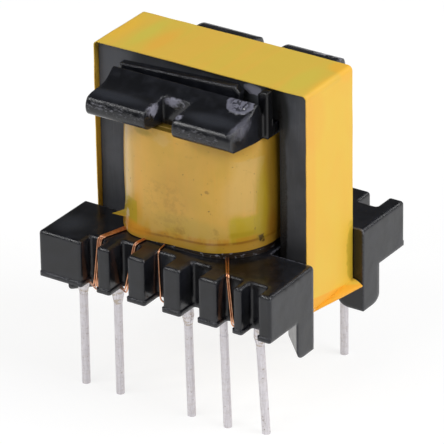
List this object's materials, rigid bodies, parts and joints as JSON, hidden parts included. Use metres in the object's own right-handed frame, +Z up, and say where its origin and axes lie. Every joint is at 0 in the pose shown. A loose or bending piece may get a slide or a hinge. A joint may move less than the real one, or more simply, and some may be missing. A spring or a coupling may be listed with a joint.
{
  "type": "pcb transformer",
  "caption": "Through-hole ferrite transformer: taped E-core pair on an upright black bobbin with notched pin rails, amber-taped coil and tinned pins.",
  "frame": {"origin": "on the bobbin's upright axis, at the level of the pin tips", "axes": "+X along the pin rails, +Y from the front rail to the rear rail, +Z up from the board side to the taped top"},
  "size_m": [0.0223, 0.0204, 0.0287],
  "materials": {
    "bobbin_plastic": "black moulded thermoset, satin with glossy edges",
    "ferrite": "dark grey sintered ferrite, satin",
    "yellow_tape": "yellow polyester tape",
    "amber_tape": "yellow polyester tape over copper, amber",
    "layer_tape": "polyester interlayer tape",
    "enamelled_copper": "enamelled copper wire",
    "tinned_pin": "tinned wire, satin",
    "solder": "tin solder, smooth"
  },
  "bodies": {
    "root": {"auxiliary_tape": "layer_tape", "auxiliary_winding": "enamelled_copper", "bobbin": "bobbin_plastic", "coil_tape": "amber_tape", "core_tape": "yellow_tape", "lead_front_1a": "enamelled_copper", "lead_front_1b": "enamelled_copper", "lead_front_1c": "enamelled_copper", "lead_front_2a": "enamelled_copper", "lead_front_2b": "enamelled_copper", "lead_front_3": "enamelled_copper", "lead_front_5a": "enamelled_copper", "lead_front_5b": "enamelled_copper", "lead_rear_1": "enamelled_copper", "lead_rear_2": "enamelled_copper", "lead_rear_4": "enamelled_copper", "lead_rear_5": "enamelled_copper", "lower_core": "ferrite", "outer_winding": "enamelled_copper", "pin_front_1": "tinned_pin", "pin_front_2": "tinned_pin", "pin_front_3": "tinned_pin", "pin_front_4": "tinned_pin", "pin_front_5": "tinned_pin", "pin_rear_1": "tinned_pin", "pin_rear_2": "tinned_pin", "pin_rear_3": "tinned_pin", "pin_rear_4": "tinned_pin", "pin_rear_5": "tinned_pin", "primary_tape": "layer_tape", "primary_winding": "enamelled_copper", "secondary_tape": "layer_tape", "secondary_winding": "enamelled_copper", "solder_front_1": "solder", "solder_front_2": "solder", "solder_front_3": "solder", "solder_front_5": "solder", "solder_rear_1": "solder", "solder_rear_2": "solder", "solder_rear_4": "solder", "solder_rear_5": "solder", "upper_core": "ferrite"}
  },
  "joints": []
}
